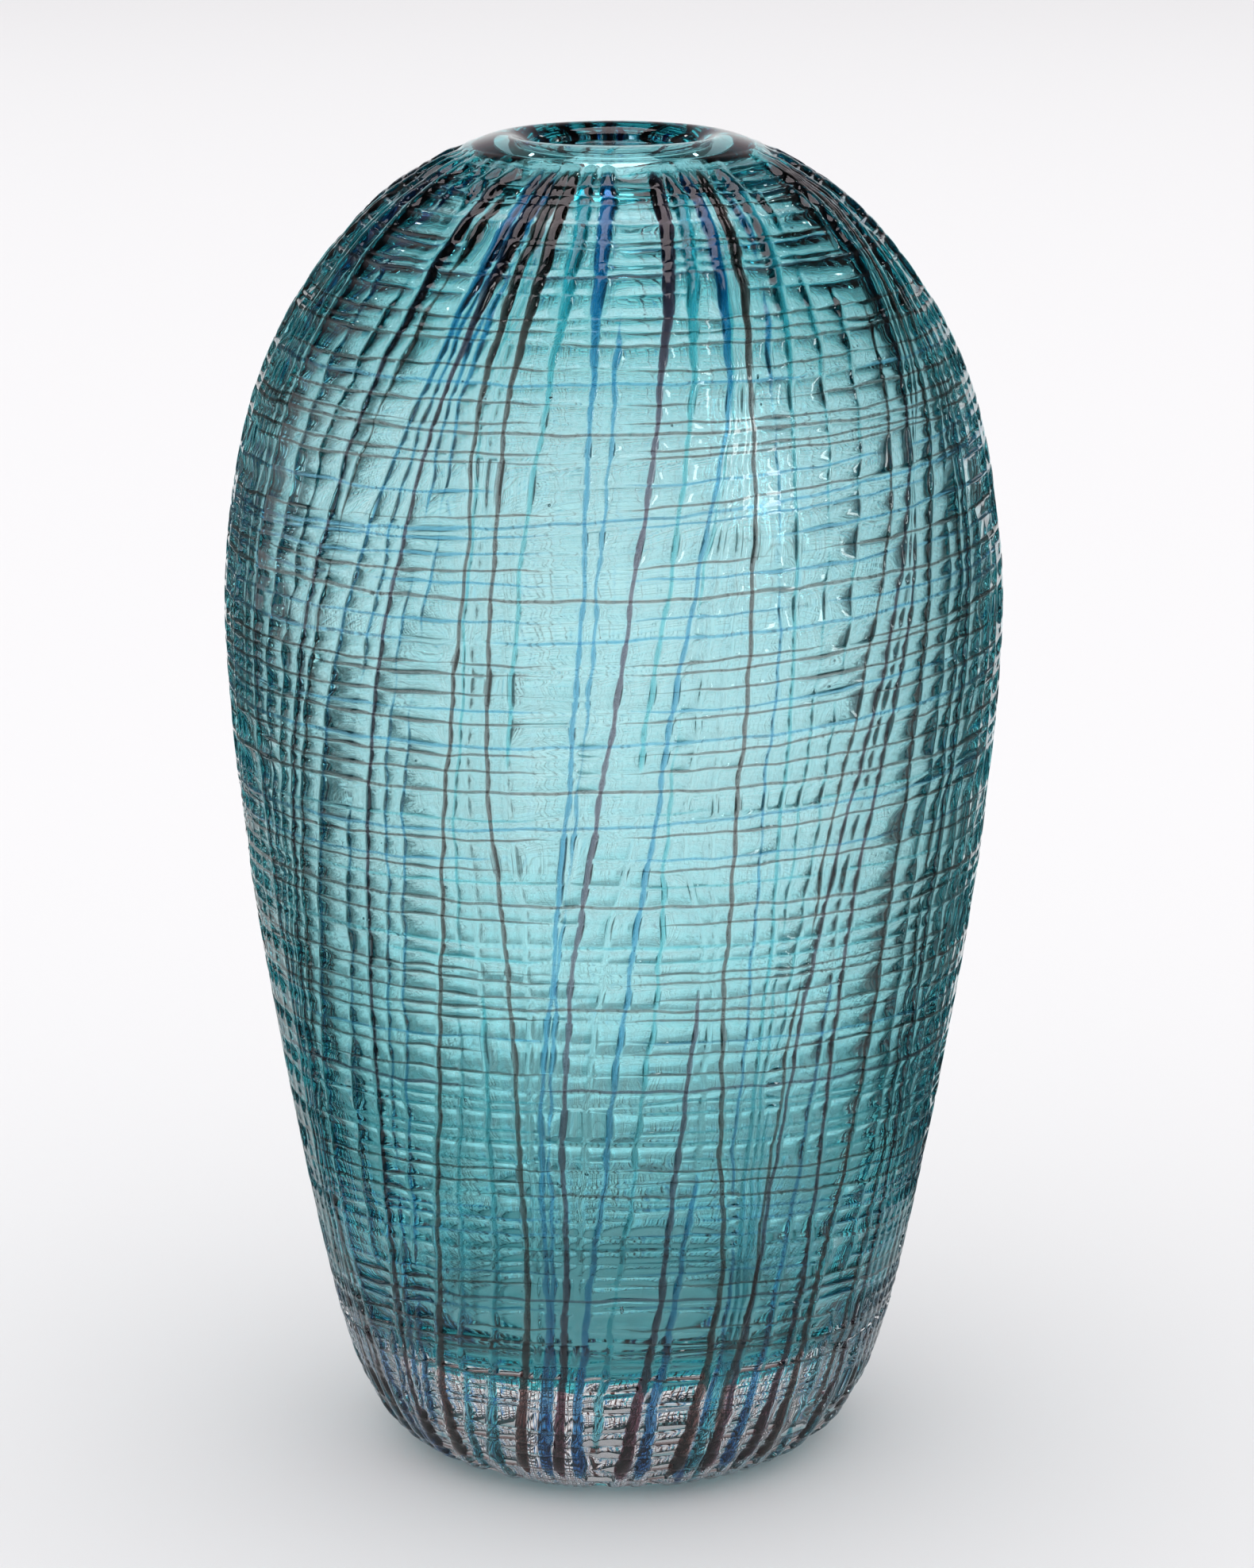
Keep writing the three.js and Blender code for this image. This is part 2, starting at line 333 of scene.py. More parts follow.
class Section:
    """The vase's section as radius and height along s, with the way out of the glass at each s."""

    def __init__(self):
        casing = turned_profile("clear_casing", 1)
        well = turned_profile("teal_bubble", -1)
        lip = lip_profile()
        well = well[well[:, 1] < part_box("lip")[0].z - BELOW_LIP]
        casing_side = casing[casing[:, 0] > lip[0, 0] + OUTSIDE_LIP]
        bubble = node_points("teal_bubble")
        on_axis = np.hypot(bubble[:, 0], bubble[:, 1]) < ON_AXIS
        foot = [[0, 0], [casing[0, 0] * FOOT_SHARE, 0]]
        well_floor = [[0, bubble[on_axis, 2].max()]]
        points = np.vstack([foot, casing_side, lip, well[::-1], well_floor])
        curve = smooth_curve(points, SECTION_STEP)
        self.radius, self.height = curve.T
        self.s = np.arange(len(curve)) * SECTION_STEP
        way = np.gradient(blurred(curve, SECTION_BLUR), axis=0)
        way /= np.linalg.norm(way, axis=1)[:, None]
        self.out = np.column_stack([way[:, 1], -way[:, 0]])
        self.foot = self.s[np.argmax(self.radius > casing[0, 0])]
        crest = np.argmax(self.height)
        self.crest = self.s[crest]
        self.shoulder = self.s[np.argmax(self.height > lip[0, 1])]
        self.end = self.s[-1]
        self.rising = (self.s >= self.foot) & (self.s <= self.crest)
        lift = SKIN_LIFT * smoothstep((self.s - self.foot) / FOOT_FADE)
        lift *= smoothstep((self.shoulder - self.s) / LIP_FADE)
        self.radius += lift * self.out[:, 0]
        self.height = np.maximum(self.height + lift * self.out[:, 1], 0)

    def s_at_height(self, height):
        return np.interp(height, self.height[self.rising], self.s[self.rising])

    def radius_at(self, s):
        return np.interp(s, self.s, self.radius)

    def height_at(self, s):
        return np.interp(s, self.s, self.height)

    def points(self, s, bearing, lift=0.0):
        """Points of the vase's surface, lifted off it along the way out of the glass."""
        out_r = np.interp(s, self.s, self.out[:, 0])
        out_z = np.interp(s, self.s, self.out[:, 1])
        radius = self.radius_at(s) + lift * out_r
        angle = np.radians(bearing)
        return np.stack(
            [radius * np.sin(angle), -radius * np.cos(angle), self.height_at(s) + lift * out_z], -1
        )

    def out_at(self, s, bearing):
        out_r = np.interp(s, self.s, self.out[:, 0])
        angle = np.radians(bearing)
        out = [out_r * np.sin(angle), -out_r * np.cos(angle), np.interp(s, self.s, self.out[:, 1])]
        return np.stack(out, -1)


SECTION = Section()


# ---- the net of threads ----


class Thread:
    """One cane or trail at each sample of the net: its place, and its strength from 0 to 1. A main
    one stands for a CAD node; the others are the fine ones between."""

    def __init__(self, place, strength, ridge, colour, node=None, first=None, last=None):
        self.place, self.strength, self.ridge = place, strength, ridge
        self.colour, self.node, self.first, self.last = colour, node, first, last


def wandering(length, size, shortest):
    """A smooth line of about this size over this length, with waves down to the shortest."""
    at = np.linspace(0, length, NET_SAMPLES)
    line = np.zeros(NET_SAMPLES)
    for wave in np.geomspace(length / 2, shortest, WAVES):
        line += np.sin(2 * math.pi * (at / wave + RANDOM.random())) * RANDOM.uniform(*WAVE_HEIGHTS)
    return size * line / WAVE_SUM


def ring_wandering(size, waves):
    """The same round a turn, joining up with itself, from a few waves up to this many."""
    turns = np.radians(TRAIL_B)
    line = np.zeros(NET_SAMPLES)
    for count in np.unique(np.geomspace(FEWEST_RING_WAVES, waves, RING_WAVES).astype(int)):
        line += np.sin(count * turns + RANDOM.uniform(0, PHASES)) * RANDOM.uniform(*WAVE_HEIGHTS)
    return size * line / RING_WAVE_SUM


def drawn(shares):
    """One of the keys, drawn by its share."""
    return RANDOM.choice(list(shares), p=list(shares.values()))


def nodes_like(word):
    """The CAD nodes with this word in their name, in the order of their numbers."""
    return sorted((n for n in NODES if word in n), key=lambda n: n[-2:])


CANE_S = np.linspace(SECTION.foot, SECTION.shoulder, NET_SAMPLES)
TRAIL_B = np.linspace(0, FULL_TURN, NET_SAMPLES)
ALWAYS = np.ones(NET_SAMPLES)


def cane_route(node):
    """A CAD cane's middle line as s and bearing, lowest first."""
    points = node_points(node)
    rings = [points[group] for group in clusters(points[:, 2], RING_HEIGHTS)]
    middles = np.array([ring.mean(0) for ring in rings])
    return SECTION.s_at_height(middles[:, 2]), bearings_of(middles)


def main_canes():
    """The CAD's canes in order round the vase. One that ends part of the way goes on as a fine
    thread, evenly between its neighbours."""
    routes = []
    for node in nodes_like("_cane_"):
        s, bearing = cane_route(node)
        passed_back = bool(routes) and routes[-1][1].max() > FRONT_BEARING
        routes.append((s, bearing % FULL_TURN if passed_back else bearing))
    table = np.full((len(routes), NET_SAMPLES), np.nan)
    for row, (s, bearing) in zip(table, routes):
        row[:] = np.interp(CANE_S, s, bearing)
        row[CANE_S < s[0] - PART_CANE] = np.nan
        row[CANE_S > s[-1] + PART_CANE] = np.nan
    ranks = np.arange(len(routes))
    for column in table.T:
        known = ~np.isnan(column)
        column[~known] = np.interp(ranks[~known], ranks[known], column[known])
    table = blurred(table.T, CANE_BLUR).T
    canes = []
    for place, (s, _), node in zip(table, routes, nodes_like("_cane_")):
        canes.append(Thread(place, ALWAYS, CANE_RIDGE, node.split("_")[0], node, s[0], s[-1]))
    return canes


def fill_between(threads, spacing, to_length, make_fine):
    """The threads with fine ones added where two neighbours lie further apart than spacing."""
    filled = []
    for thread, after in zip(threads, threads[1:]):
        gap = after.place - thread.place
        count = max(int(round(np.mean(gap * to_length) / spacing)) - 1, 0)
        widths = RANDOM.uniform(*UNEVEN_SPACING, count + 1)
        shares = np.cumsum(widths)[:-1] / widths.sum()
        filled.append(thread)
        filled += [make_fine(thread.place + share * gap) for share in shares]
    return [*filled, threads[-1]]


def all_canes():
    metres = math.radians(1) * SECTION.radius_at(CANE_S)
    height = CANE_S[-1] - CANE_S[0]
    level = SECTION.height_at(CANE_S)
    upper_belly = np.exp(-(((level - UPPER_BELLY[0]) / UPPER_BELLY[1]) ** 2))
    crowded = smoothstep((level - CROWDED_ABOVE[0]) / CROWDED_ABOVE[1])
    crowded += smoothstep((CROWDED_BELOW[0] - level) / CROWDED_BELOW[1])
    whole = FINE_CANE_STRENGTH - UPPER_BELLY_LOSS * upper_belly - CROWDED_LOSS * crowded

    def fine(place):
        change = wandering(height, FINE_CANE_CHANGE, height / FINE_CANE_PATCHES)
        strength = smoothstep(whole + change)
        colour = drawn(FINE_CANE_COLOURS)
        place = place + wandering(height, FINE_CANE_WANDER, height / CANE_WAVES) / metres
        return Thread(place, strength, FINE_CANE_RIDGE, colour)

    canes = main_canes()
    for cane in canes:
        cane.place = cane.place + wandering(height, CANE_WANDER, height / CANE_WAVES) / metres
    after_last = Thread(canes[0].place + FULL_TURN, ALWAYS, CANE_RIDGE, "blue")
    return fill_between([*canes, after_last], CANE_SPACING, metres, fine)[:-1]


def trail_route(node):
    """A CAD trail's middle line as bearing and s, over one turn from its start."""
    points = node_points(node)
    rings = [points[group] for group in clusters(bearings_of(points), RING_BEARINGS)]
    middles = np.array([ring.mean(0) for ring in rings])
    bearing = bearings_of(middles)
    order = np.argsort(bearing)
    return bearing[order], SECTION.s_at_height(middles[order, 2])


def level_trail(s, colour):
    return Thread(np.full(NET_SAMPLES, s), ALWAYS, FINE_TRAIL_RIDGE, colour)


def all_trails():
    def fine(place):
        change = ring_wandering(FINE_TRAIL_CHANGE, FINE_TRAIL_PATCHES)
        strength = smoothstep(FINE_TRAIL_STRENGTH + change)
        colour = drawn(FINE_TRAIL_COLOURS)
        place = place + ring_wandering(FINE_TRAIL_WANDER, FINE_TRAIL_WAVES)
        return Thread(place, strength, FINE_TRAIL_RIDGE, colour)

    trails = [level_trail(SECTION.foot + LOWEST_TRAIL, "brown")]
    for node in reversed(nodes_like("_trail_")):
        bearing, s = trail_route(node)
        place = np.interp(TRAIL_B, bearing, s, period=FULL_TURN)
        after = np.r_[bearing[1:], bearing[0] + FULL_TURN]
        start = after[np.argmax(after - bearing)] % FULL_TURN
        trails.append(Thread(place, ALWAYS, TRAIL_RIDGE, node.split("_")[0], node, start))
    top = level_trail(SECTION.shoulder - HIGHEST_TRAIL, "teal")
    trails = fill_between([*trails, top], TRAIL_SPACING, 1.0, fine)[:-1]
    for trail in trails:
        trail.place = trail.place + ring_wandering(TRAIL_WANDER, TRAIL_WAVES)
    return trails


CANES = all_canes()
TRAILS = all_trails()
CANE_TABLE = np.array([cane.place for cane in CANES])
CANE_TABLE = np.maximum.accumulate(CANE_TABLE, axis=0) + np.arange(len(CANES))[:, None] * KEEP_APART
TRAIL_TABLE = np.maximum.accumulate(np.array([trail.place for trail in TRAILS]), axis=0)


def swell(s):
    """How much thicker a cane is at s: they were drawn thinnest over the belly."""
    height = SECTION.height_at(s)
    foot = np.exp(-np.maximum(height - FOOT_SWELL_TOP, 0) / FOOT_SWELL_REACH)
    shoulder = smoothstep((height - SHOULDER_SWELL_START) / SHOULDER_SWELL_RISE)
    return 1 + FOOT_SWELL * foot + SHOULDER_SWELL * shoulder


# ---- meshes ----


def new_piece(name, points, faces, material):
    mesh = bpy.data.meshes.new(name)
    mesh.from_pydata(np.asarray(points).tolist(), [], faces)
    mesh.polygons.foreach_set("use_smooth", [True] * len(mesh.polygons))
    mesh.materials.append(material)
    piece = bpy.data.objects.new(name, mesh)
    bpy.context.scene.collection.objects.link(piece)
    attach(piece, "root")
    return piece


def grid_faces(rows, columns):
    """Quads between rows of a grid that closes on itself round its columns."""
    a = np.arange(rows - 1)[:, None] * columns + np.arange(columns)
    b = np.arange(rows - 1)[:, None] * columns + np.roll(np.arange(columns), -1)
    return np.stack([a, b, b + columns, a + columns], -1).reshape(-1, 4).tolist()


def fan(ring, pole, outward):
    """Triangles from a ring of vertex numbers to a pole."""
    after = np.roll(ring, -1)
    order = (ring, after) if outward else (after, ring)
    return [[int(a), int(b), pole] for a, b in zip(*order)]


def lines_beside(table, half_widths, gaps):
    """The net's own lines and, on both sides of each, the lines that its ridge's flanks need, with
    the number of the thread that each belongs to. Gaps are those after each line."""
    lines, owners = [], []
    before = np.vstack([gaps[-1:], gaps[:-1]])
    for number, place in enumerate(table):
        for reach in reversed(ACROSS_RIDGE):
            most = FLANK_SHARE * reach / ACROSS_RIDGE[-1] * before[number]
            lines.append(place - np.minimum(reach * half_widths[number], most))
        lines.append(place)
        for reach in ACROSS_RIDGE:
            most = FLANK_SHARE * reach / ACROSS_RIDGE[-1] * gaps[number]
            lines.append(place + np.minimum(reach * half_widths[number], most))
        if gaps[number].mean() > WIDE_GAP * half_widths[number].mean():
            lines.append(place + gaps[number] / 2)
        owners += [number] * (len(lines) - len(owners))
    return np.array(lines), np.array(owners)


def sampled(rows, at, low, high):
    """Each row's value at its own places, by straight lines between the net's samples."""
    place = (at - low) / (high - low) * (NET_SAMPLES - 1)
    place = np.clip(place, 0, NET_SAMPLES - 1 - TO_THE_LAST)
    index = place.astype(int)
    share = place - index
    line = np.arange(len(rows))[:, None]
    return rows[line, index] * (1 - share) + rows[line, index + 1] * share


def ripple(bearing, s):
    """A slow unevenness of the blown surface, from -1 to 1."""
    total = 0
    for waves, length in RIPPLES:
        phase = RANDOM.uniform(0, PHASES, 2)
        slanting = np.sin(waves * np.radians(bearing) + phase[0] + s / length * PHASES)
        total = total + slanting * np.sin(s / length * RIPPLE_BEAT + phase[1])
    return total / len(RIPPLES)


def nearest_ridge(places, at, to_length, ridges, strengths, grow):
    """Distance from the nearest ridge's edge, and that ridge's half width and height."""
    best = None
    for place, ridge, strength in zip(places, ridges, strengths):
        half_width = ridge[0][:, None] * grow * (FAINT_WIDTH + (1 - FAINT_WIDTH) * strength)
        away = np.abs(at - place) * to_length
        edge = away - half_width + FADED * (1 - strength)
        height = ridge[1][:, None] * grow**HEIGHT_SWELL * strength
        found = edge, half_width, height
        if best is None:
            best = found
        else:
            best = [np.where(edge < best[0], new, old) for new, old in zip(found, best)]
    return best


def net_relief(s, bearing, cane_owners, trail_owners):
    """How high the net stands at each point: round threads, drawn together where they cross, so
    that the cells between them have round corners."""
    around = bearing.T
    grow = swell(s).T
    to_length = math.radians(1) * SECTION.radius_at(s).T
    ridges = np.array([cane.ridge for cane in CANES])
    strengths = np.array([cane.strength for cane in CANES])
    found = []
    for step in (-1, 0, 1):
        turn, number = np.divmod(cane_owners + step, len(CANES))
        place = sampled(CANE_TABLE[number], s.T, SECTION.foot, SECTION.shoulder)
        strength = sampled(strengths[number], s.T, SECTION.foot, SECTION.shoulder)
        found.append((place + turn[:, None] * FULL_TURN, ridges[number].T, strength))
    places, cane_ridges, cane_strengths = zip(*found)
    cane = nearest_ridge(places, around, to_length, cane_ridges, cane_strengths, grow)
    cane_edge, cane_width, cane_height = (values.T for values in cane)

    ridges = np.array([trail.ridge for trail in TRAILS])
    strengths = np.array([trail.strength for trail in TRAILS])
    found = []
    for step in (-1, 0, 1):
        number = np.clip(trail_owners + step, 0, len(TRAILS) - 1)
        place = sampled(TRAIL_TABLE[number], bearing % FULL_TURN, 0, FULL_TURN)
        strength = sampled(strengths[number], bearing % FULL_TURN, 0, FULL_TURN)
        found.append((place, ridges[number].T, strength))
    places, trail_ridges, trail_strengths = zip(*found)
    trail_edge, trail_width, trail_height = nearest_ridge(
        places, s, 1.0, trail_ridges, trail_strengths, np.ones_like(s)
    )

    from_cane = np.maximum(CORNER - cane_edge, 0)
    from_trail = np.maximum(CORNER - trail_edge, 0)
    inside = np.hypot(from_cane, from_trail) - CORNER
    share = from_cane**2 / (from_cane**2 + from_trail**2 + NOT_ZERO)
    width = share * cane_width + (1 - share) * trail_width
    height = share * cane_height + (1 - share) * trail_height
    across = np.clip(1 - inside / width, 0, 1)
    rise, reach = MENISCUS
    lift = height * np.sqrt(1 - across**2) + rise * smoothstep(1 + inside / reach)
    return lift + RIPPLE * ripple(bearing, s)


def skin_net():
    """The net's s, bearing and lift at each row and column of the skin's mesh."""
    low, high = SECTION.foot, SECTION.shoulder
    metres = math.radians(1) * SECTION.radius_at(CANE_S)
    grow = swell(CANE_S)
    widths = np.array([cane.ridge[0] * grow / metres for cane in CANES])
    gaps = np.roll(CANE_TABLE, -1, axis=0) - CANE_TABLE
    gaps[-1] += FULL_TURN
    columns, cane_owners = lines_beside(CANE_TABLE, widths, gaps)
    widths = np.array([np.full(NET_SAMPLES, trail.ridge[0]) for trail in TRAILS])
    gaps = np.vstack([TRAIL_TABLE[1:], np.full(NET_SAMPLES, high)]) - TRAIL_TABLE
    rows, trail_owners = lines_beside(TRAIL_TABLE, widths, gaps)
    rows = np.vstack([np.full(NET_SAMPLES, low), rows, np.full(NET_SAMPLES, high)])
    rows = np.maximum.accumulate(np.clip(rows, low, high), axis=0)
    trail_owners = np.r_[0, trail_owners, len(TRAILS) - 1]
    s = np.repeat(rows.mean(1)[:, None], len(columns), axis=1)
    for _ in range(NET_PASSES):
        bearing = sampled(columns, s.T, low, high).T
        s = sampled(rows, bearing % FULL_TURN, 0, FULL_TURN)
    lift = net_relief(s, bearing, cane_owners, trail_owners)
    lift *= smoothstep((s - low) / NET_FADE) * smoothstep((high - s) / NET_FADE)
    return s, bearing, lift


def clear_body(material, well_material):
    """Casing and lip as the one glass they are, with the net on its outer face."""
    s, bearing, lift = skin_net()
    columns = s.shape[1]
    foot_s = np.array(FOOT_RINGS) * SECTION.foot
    lip_end = SECTION.crest + ROLL_OVER
    inner_s = np.concatenate([
        np.arange(SECTION.shoulder + LIP_STEP, lip_end, LIP_STEP),
        np.arange(lip_end, SECTION.end - WELL_STEP, WELL_STEP),
    ])
    below = SECTION.points(*np.broadcast_arrays(foot_s[:, None], bearing[:1]))
    above = SECTION.points(*np.broadcast_arrays(inner_s[:, None], bearing[-1:]))
    net = SECTION.points(s, bearing, lift)
    net[..., 2] = np.maximum(net[..., 2], 0)
    grid = np.concatenate([below, net, above])
    points = grid.reshape(-1, 3)
    faces = grid_faces(len(grid), columns)
    last = (len(grid) - 1) * columns
    poles = [[0, 0, 0], [0, 0, SECTION.height[-1]]]
    faces += fan(np.arange(columns), len(points), outward=False)
    faces += fan(last + np.arange(columns), len(points) + 1, outward=True)
    bubble_points, bubble_faces = bubble_shells()
    faces += [[len(points) + 2 + index for index in face] for face in bubble_faces]
    points = np.vstack([points, poles, bubble_points])
    body = new_piece("clear_glass_body", points, faces, material)
    body.data.materials.append(well_material)
    well_rows = np.flatnonzero(inner_s > SECTION.crest + WELL_WALL_START) + len(below) + len(net)
    inside = np.zeros(len(faces), int)
    inside[well_rows[0] * columns : (len(grid) - 1) * columns] = 1
    inside[len(grid) * columns : (len(grid) + 1) * columns] = 1
    body.data.polygons.foreach_set("material_index", inside)
    body.visible_shadow = False  # clear glass: the shadow falls from the coloured glass inside it
    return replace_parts(body, "clear_casing", "lip")


def bubble_shells():
    """Small air bubbles under the skin, each the inside of a little sphere, as points and faces."""
    count = BUBBLE_SIDES
    turn = np.arange(count) * 2 * math.pi / count
    tilt = np.linspace(0, math.pi, count // 2 + 1)[1:-1]
    ball = np.stack([np.outer(np.sin(tilt), np.cos(turn)), np.outer(np.sin(tilt), np.sin(turn)),
                     np.outer(np.cos(tilt), np.ones(count))], -1).reshape(-1, 3)
    ball = np.vstack([ball, [[0, 0, 1], [0, 0, -1]]])
    ball_faces = grid_faces(len(tilt), count)
    ball_faces += fan(np.arange(count), len(ball) - 2, outward=False)
    ball_faces += fan((len(tilt) - 1) * count + np.arange(count), len(ball) - 1, outward=True)
    parts = []
    for _ in range(BUBBLES):
        s = RANDOM.uniform(SECTION.foot + BUBBLE_MARGIN, SECTION.shoulder - BUBBLE_MARGIN, 1)
        middle = SECTION.points(s, RANDOM.uniform(0, FULL_TURN, 1), -RANDOM.uniform(*BUBBLE_DEPTH))
        parts.append((middle + ball * RANDOM.uniform(*BUBBLE_RADIUS), ball_faces))
    return joined(parts)


def teal_thickness(s):
    """The teal glass is thick round the well's floor and the shoulder, thinner at the belly, and
    thinnest at the mouth."""
    height = SECTION.height_at(s)
    low = smoothstep((TEAL_LOW[0] - height) / TEAL_LOW[1])
    high = smoothstep((height - TEAL_HIGH[0]) / TEAL_HIGH[1])
    mouth = smoothstep((SECTION.crest + TEAL_MOUTH[0] - s) / TEAL_MOUTH[1])
    return TEAL_WALL + TEAL_LOW_MORE * low + TEAL_HIGH_MORE * high - TEAL_MOUTH_LESS * mouth


def teal_layer(material):
    """The teal bubble as a layer just under the well's surface, up to the mouth."""
    s = np.arange(SECTION.crest + TEAL_START, SECTION.end - TEAL_STEP, TEAL_STEP)
    count = TEAL_SIDES
    bearing = np.arange(count) * FULL_TURN / count
    near = SECTION.points(*np.broadcast_arrays(s[:, None], bearing), lift=-TEAL_DEPTH)
    lift = -TEAL_DEPTH - teal_thickness(s)[::-1, None]
    far = SECTION.points(*np.broadcast_arrays(s[::-1, None], bearing), lift=lift)
    grid = np.concatenate([far, near])
    points = grid.reshape(-1, 3)
    faces = grid_faces(len(grid), count)
    low = far[0, 0, 2]
    high = near[-1, 0, 2]
    faces += fan(np.arange(count), len(points), outward=False)
    faces += fan((len(grid) - 1) * count + np.arange(count), len(points) + 1, outward=True)
    points = np.vstack([points, [[0, 0, low], [0, 0, high]]])
    layer = new_piece("teal_glass_layer", points, faces, material)
    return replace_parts(layer, "teal_bubble")


def tube(s, bearing, depth, half_width, half_thickness):
    """A glass thread along a line of the net, closed at both ends, as points and faces."""
    middle = SECTION.points(s, bearing, depth)
    way = np.gradient(middle, axis=0)
    side = np.cross(way, SECTION.out_at(s, bearing))
    side /= np.linalg.norm(side, axis=1)[:, None]
    up = np.cross(side, way)
    up /= np.linalg.norm(up, axis=1)[:, None]
    turn = np.arange(CORE_SIDES) * 2 * math.pi / CORE_SIDES
    across = side[:, None] * np.cos(turn)[None, :, None] * half_width[:, None, None]
    through = up[:, None] * np.sin(turn)[None, :, None] * half_thickness[:, None, None]
    rings = middle[:, None] + across + through
    points = np.vstack([rings.reshape(-1, 3), middle[:1], middle[-1:]])
    faces = [face[::-1] for face in grid_faces(len(rings), CORE_SIDES)]
    first_ring = np.arange(CORE_SIDES)
    last_ring = (len(rings) - 1) * CORE_SIDES + first_ring
    faces += fan(first_ring, len(points) - 2, outward=True)
    faces += fan(last_ring, len(points) - 1, outward=False)
    return points, faces


def tapered(at, end):
    """A thread's thickness from 0 to 1 along its length, drawn to a point at both ends."""
    rise = smoothstep((at - at[0]) / end) * smoothstep((at[-1] - at) / end)
    return np.minimum(np.sqrt(rise) + TAPER_TIP, 1)


def cane_tube(cane, row, half_width, half_thickness):
    low = max(cane.first or 0, SECTION.foot + CORE_START)
    high = SECTION.shoulder - CORE_END
    if cane.last and cane.last < high - TO_THE_LIP:
        high = cane.last
    s = np.arange(low, high, CORE_STEP)
    grow = swell(s) ** CORE_SWELL
    strength = np.interp(s, CANE_S, cane.strength) * tapered(s, CORE_TAPER) + FAINT_CORE
    depth = -CORE_DEPTH - half_thickness * grow
    return tube(s, np.interp(s, CANE_S, row), depth, half_width * grow * strength,
                half_thickness * grow * strength)


def trail_tube(trail, row, half_width, half_thickness):
    bearing = (trail.first or 0) + np.arange(TRAIL_START, FULL_TURN - TRAIL_END, TRAIL_STEP)
    at = bearing % FULL_TURN
    strength = np.interp(at, TRAIL_B, trail.strength) * tapered(bearing, TRAIL_TAPER) + FAINT_CORE
    depth = np.full(len(bearing), TRAIL_CORE_LIFT)
    return tube(np.interp(at, TRAIL_B, row), bearing, depth, half_width * strength,
                half_thickness * strength)


def joined(parts):
    points, faces, first = [], [], 0
    for part_points, part_faces in parts:
        points.append(part_points)
        faces += [[first + index for index in face] for face in part_faces]
        first += len(part_points)
    return np.vstack(points), faces


def thread_cores(threads, table, make_tube, main_size, fine_size, fine_name):
    """The coloured glass inside the threads: a piece for each CAD node, and one for each colour of
    the fine ones."""
    fine = {}
    for thread, row in zip(threads, table):
        if thread.node:
            points, faces = make_tube(thread, row, *main_size)
            piece = new_piece(thread.node + "_glass", points, faces, THREAD_GLASS[thread.colour])
            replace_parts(piece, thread.node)
        else:
            fine.setdefault(thread.colour, []).append(make_tube(thread, row, *fine_size))
    for colour, parts in fine.items():
        points, faces = joined(parts)
        new_piece(f"fine_{colour}_{fine_name}", points, faces, THREAD_GLASS[colour])


# ---- materials ----


def absorption(left_per_mm):
    """Colour and density of a Volume Absorption that leaves these parts of the light after 1 mm."""
    lost = -np.log(np.array(left_per_mm)) / MM
    density = lost.max() * MOST_DENSITY
    return 1 - lost / density, density


def glass_material(name, tint, ior, left_per_mm=None, roughness=0.0):
    """Glass whose colour varies a little from place to place, with an even absorption inside."""
    material = bpy.data.materials.new(name)
    material.use_nodes = True
    tree = material.node_tree
    shader = tree.nodes["Principled BSDF"]
    shader.inputs["Transmission Weight"].default_value = 1.0
    shader.inputs["Roughness"].default_value = roughness
    shader.inputs["IOR"].default_value = ior
    place = tree.nodes.new("ShaderNodeTexCoord")
    noise = tree.nodes.new("ShaderNodeTexNoise")
    noise.inputs["Scale"].default_value = TINT_SCALE
    ramp = tree.nodes.new("ShaderNodeValToRGB")
    for element, position, colour in zip(ramp.color_ramp.elements, TINT_RANGE, (tint, (1, 1, 1))):
        element.position = position
        element.color = (*colour, 1)
    tree.links.new(place.outputs["Object"], noise.inputs["Vector"])
    tree.links.new(noise.outputs["Fac"], ramp.inputs["Fac"])
    tree.links.new(ramp.outputs["Color"], shader.inputs["Base Color"])
    if left_per_mm is not None:
        colour, density = absorption(left_per_mm)
        volume = tree.nodes.new("ShaderNodeVolumeAbsorption")
        volume.inputs["Color"].default_value = (*colour, 1)
        volume.inputs["Density"].default_value = density
        tree.links.new(volume.outputs["Volume"], tree.nodes["Material Output"].inputs["Volume"])
    return material


def plain_material(name, colour, roughness):
    """A matt material for the stage."""
    material = bpy.data.materials.new(name)
    material.use_nodes = True
    shader = material.node_tree.nodes["Principled BSDF"]
    shader.inputs["Base Color"].default_value = (*colour, 1)
    shader.inputs["Roughness"].default_value = roughness
    shader.inputs["Specular IOR Level"].default_value = 0.0
    return material


# ---- the vase ----

CLEAR_GLASS = glass_material("clear_glass", CLEAR_TINT, GLASS_IOR)
WELL_GLASS = glass_material("well_glass", CLEAR_TINT, GLASS_IOR, roughness=WELL_ROUGHNESS)
TEAL_GLASS = glass_material("teal_glass", TEAL_TINT, INSIDE_IOR, TEAL_LEFT)
THREAD_GLASS = {
    colour: glass_material(name, tint, INSIDE_IOR, left_per_mm)
    for colour, (name, tint, left_per_mm) in THREAD_GLASSES.items()
}

clear_body(CLEAR_GLASS, WELL_GLASS)
teal_layer(TEAL_GLASS)
thread_cores(CANES, CANE_TABLE, cane_tube, CANE_CORE, FINE_CANE_CORE, "canes")
thread_cores(TRAILS, TRAIL_TABLE, trail_tube, TRAIL_CORE, FINE_TRAIL_CORE, "trails")


# ---- stage, light and camera ----


def in_scene(name, data):
    made = bpy.data.objects.new(name, data)
    bpy.context.scene.collection.objects.link(made)
    return made


def stage_floor():
    turn = np.radians(np.arange(0, FULL_TURN, FLOOR_STEP))
    rim = np.column_stack([np.cos(turn), np.sin(turn), np.zeros_like(turn)]) * FLOOR_RADIUS
    mesh = bpy.data.meshes.new("floor")
    mesh.from_pydata(rim.tolist(), [], [range(len(rim))])
    mesh.materials.append(plain_material("pale_floor", FLOOR_COLOUR, FLOOR_ROUGHNESS))
    in_scene("floor", mesh)


